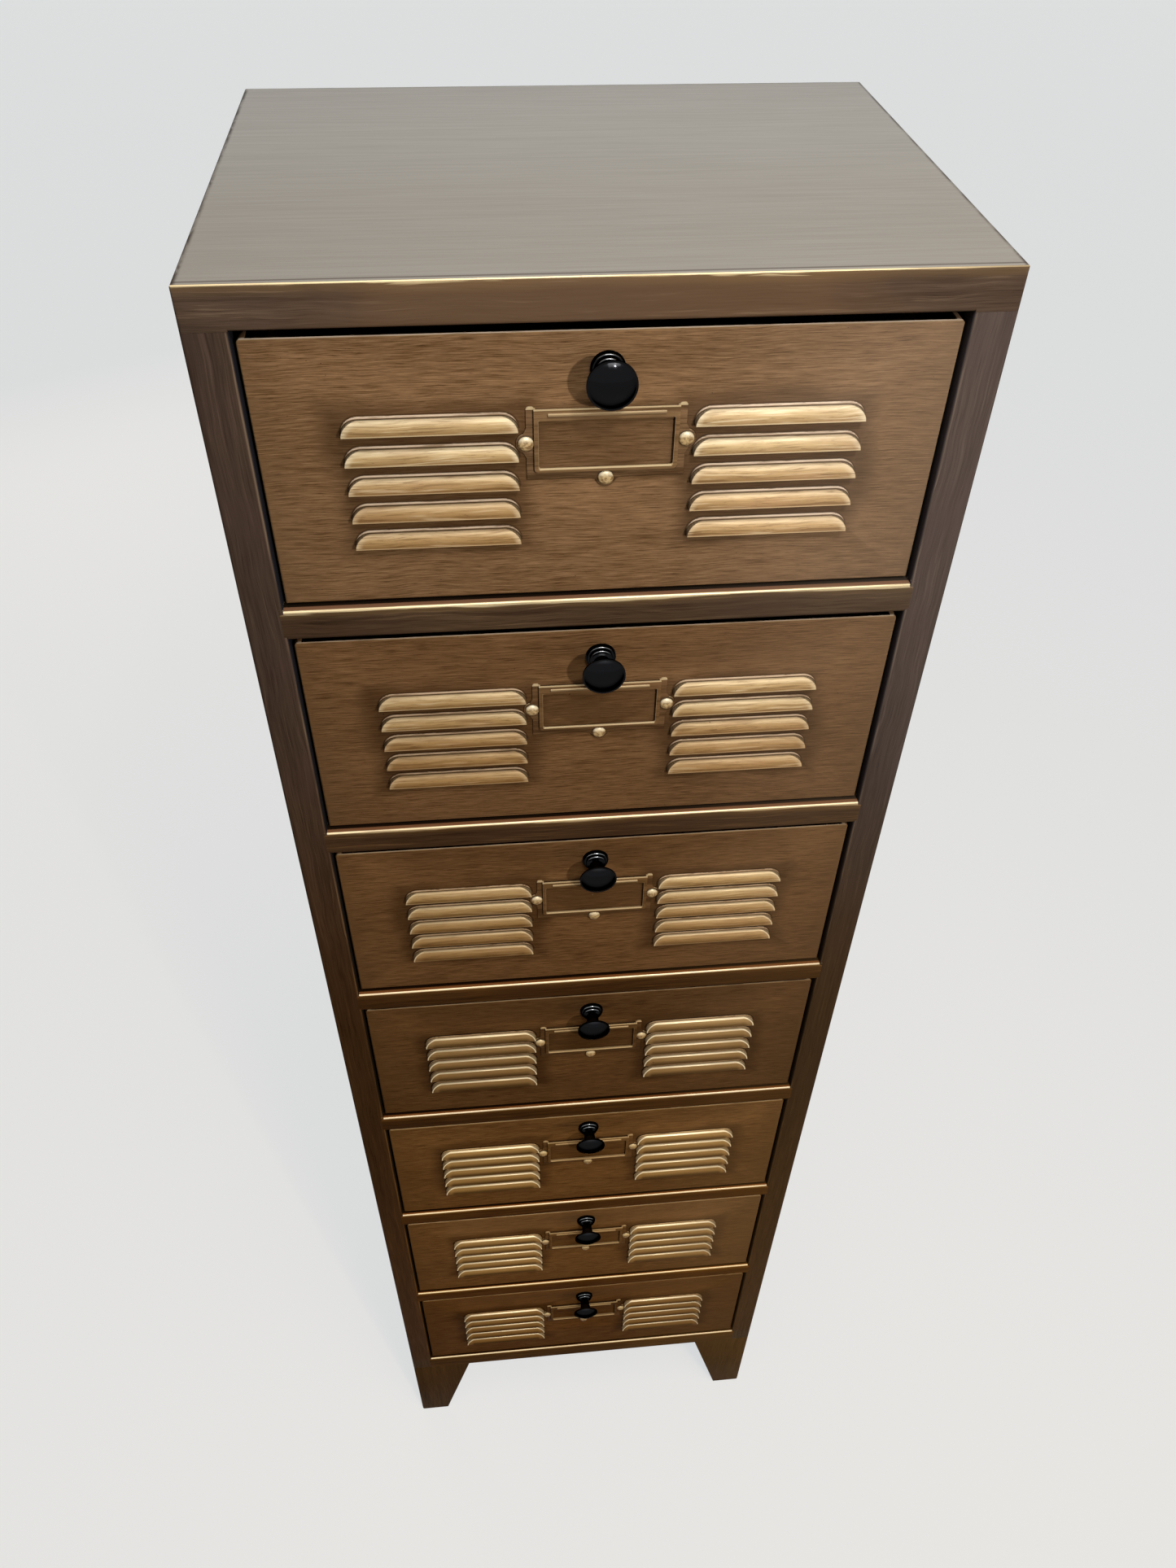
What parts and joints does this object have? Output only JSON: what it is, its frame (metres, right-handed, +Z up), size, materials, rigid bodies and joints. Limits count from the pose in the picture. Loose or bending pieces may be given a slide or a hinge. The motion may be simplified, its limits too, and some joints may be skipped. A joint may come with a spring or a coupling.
{
  "type": "metal drawer cabinet",
  "caption": "Tall, narrow sheet-metal drawer cabinet on folded feet, with louvred drawer fronts, label holders and round black knobs; every drawer slides out.",
  "frame": {"origin": "on the floor, at the middle of the overall footprint (carcass and knobs)", "axes": "+Z up; +Y to the back, so the drawer fronts face -Y; +X to the right of someone facing the drawers"},
  "size_m": [0.38, 0.321, 1.33],
  "materials": {
    "frame_paint": "dark brown bronze paint with streaky brush marks, worn to dull gold on the folds",
    "drawer_paint": "bronze brown paint with a fine sideways dry-brushed grain, dull gold on louvres and rims",
    "holder_paint": "dull gold bronze paint, rubbed brighter on raised edges",
    "black_knob": "deep gloss black",
    "zinc_steel": "plain zinc-plated steel, slightly dull"
  },
  "bodies": {
    "cabinet": {"top_panel": "frame_paint", "bottom_panel": "frame_paint", "back_panel": "frame_paint", "side_panel_left": "frame_paint", "side_panel_right": "frame_paint", "front_rail_1": "frame_paint", "front_rail_2": "frame_paint", "front_rail_3": "frame_paint", "front_rail_4": "frame_paint", "front_rail_5": "frame_paint", "front_rail_6": "frame_paint", "runners_left": "zinc_steel", "runners_right": "zinc_steel", "foot_front_left": "frame_paint", "foot_front_right": "frame_paint", "foot_rear_left": "frame_paint", "foot_rear_right": "frame_paint"},
    "drawer_1": {"drawer_front_1": "drawer_paint", "drawer_box_1": "drawer_paint", "label_holder_1": "holder_paint", "label_rivets_1": "holder_paint", "knob_1": "black_knob", "knob_screw_1": "zinc_steel"},
    "drawer_2": {"drawer_front_2": "drawer_paint", "drawer_box_2": "drawer_paint", "label_holder_2": "holder_paint", "label_rivets_2": "holder_paint", "knob_2": "black_knob", "knob_screw_2": "zinc_steel"},
    "drawer_3": {"drawer_front_3": "drawer_paint", "drawer_box_3": "drawer_paint", "label_holder_3": "holder_paint", "label_rivets_3": "holder_paint", "knob_3": "black_knob", "knob_screw_3": "zinc_steel"},
    "drawer_4": {"drawer_front_4": "drawer_paint", "drawer_box_4": "drawer_paint", "label_holder_4": "holder_paint", "label_rivets_4": "holder_paint", "knob_4": "black_knob", "knob_screw_4": "zinc_steel"},
    "drawer_5": {"drawer_front_5": "drawer_paint", "drawer_box_5": "drawer_paint", "label_holder_5": "holder_paint", "label_rivets_5": "holder_paint", "knob_5": "black_knob", "knob_screw_5": "zinc_steel"},
    "drawer_6": {"drawer_front_6": "drawer_paint", "drawer_box_6": "drawer_paint", "label_holder_6": "holder_paint", "label_rivets_6": "holder_paint", "knob_6": "black_knob", "knob_screw_6": "zinc_steel"},
    "drawer_7": {"drawer_front_7": "drawer_paint", "drawer_box_7": "drawer_paint", "label_holder_7": "holder_paint", "label_rivets_7": "holder_paint", "knob_7": "black_knob", "knob_screw_7": "zinc_steel"}
  },
  "joints": [
    {"name": "drawer_1_slide", "type": "slide", "parent": "cabinet", "child": "drawer_1", "axis": [0, -1, 0], "range_m": [0, 0.215]},
    {"name": "drawer_2_slide", "type": "slide", "parent": "cabinet", "child": "drawer_2", "axis": [0, -1, 0], "range_m": [0, 0.215]},
    {"name": "drawer_3_slide", "type": "slide", "parent": "cabinet", "child": "drawer_3", "axis": [0, -1, 0], "range_m": [0, 0.215]},
    {"name": "drawer_4_slide", "type": "slide", "parent": "cabinet", "child": "drawer_4", "axis": [0, -1, 0], "range_m": [0, 0.215]},
    {"name": "drawer_5_slide", "type": "slide", "parent": "cabinet", "child": "drawer_5", "axis": [0, -1, 0], "range_m": [0, 0.215]},
    {"name": "drawer_6_slide", "type": "slide", "parent": "cabinet", "child": "drawer_6", "axis": [0, -1, 0], "range_m": [0, 0.215]},
    {"name": "drawer_7_slide", "type": "slide", "parent": "cabinet", "child": "drawer_7", "axis": [0, -1, 0], "range_m": [0, 0.215]}
  ]
}
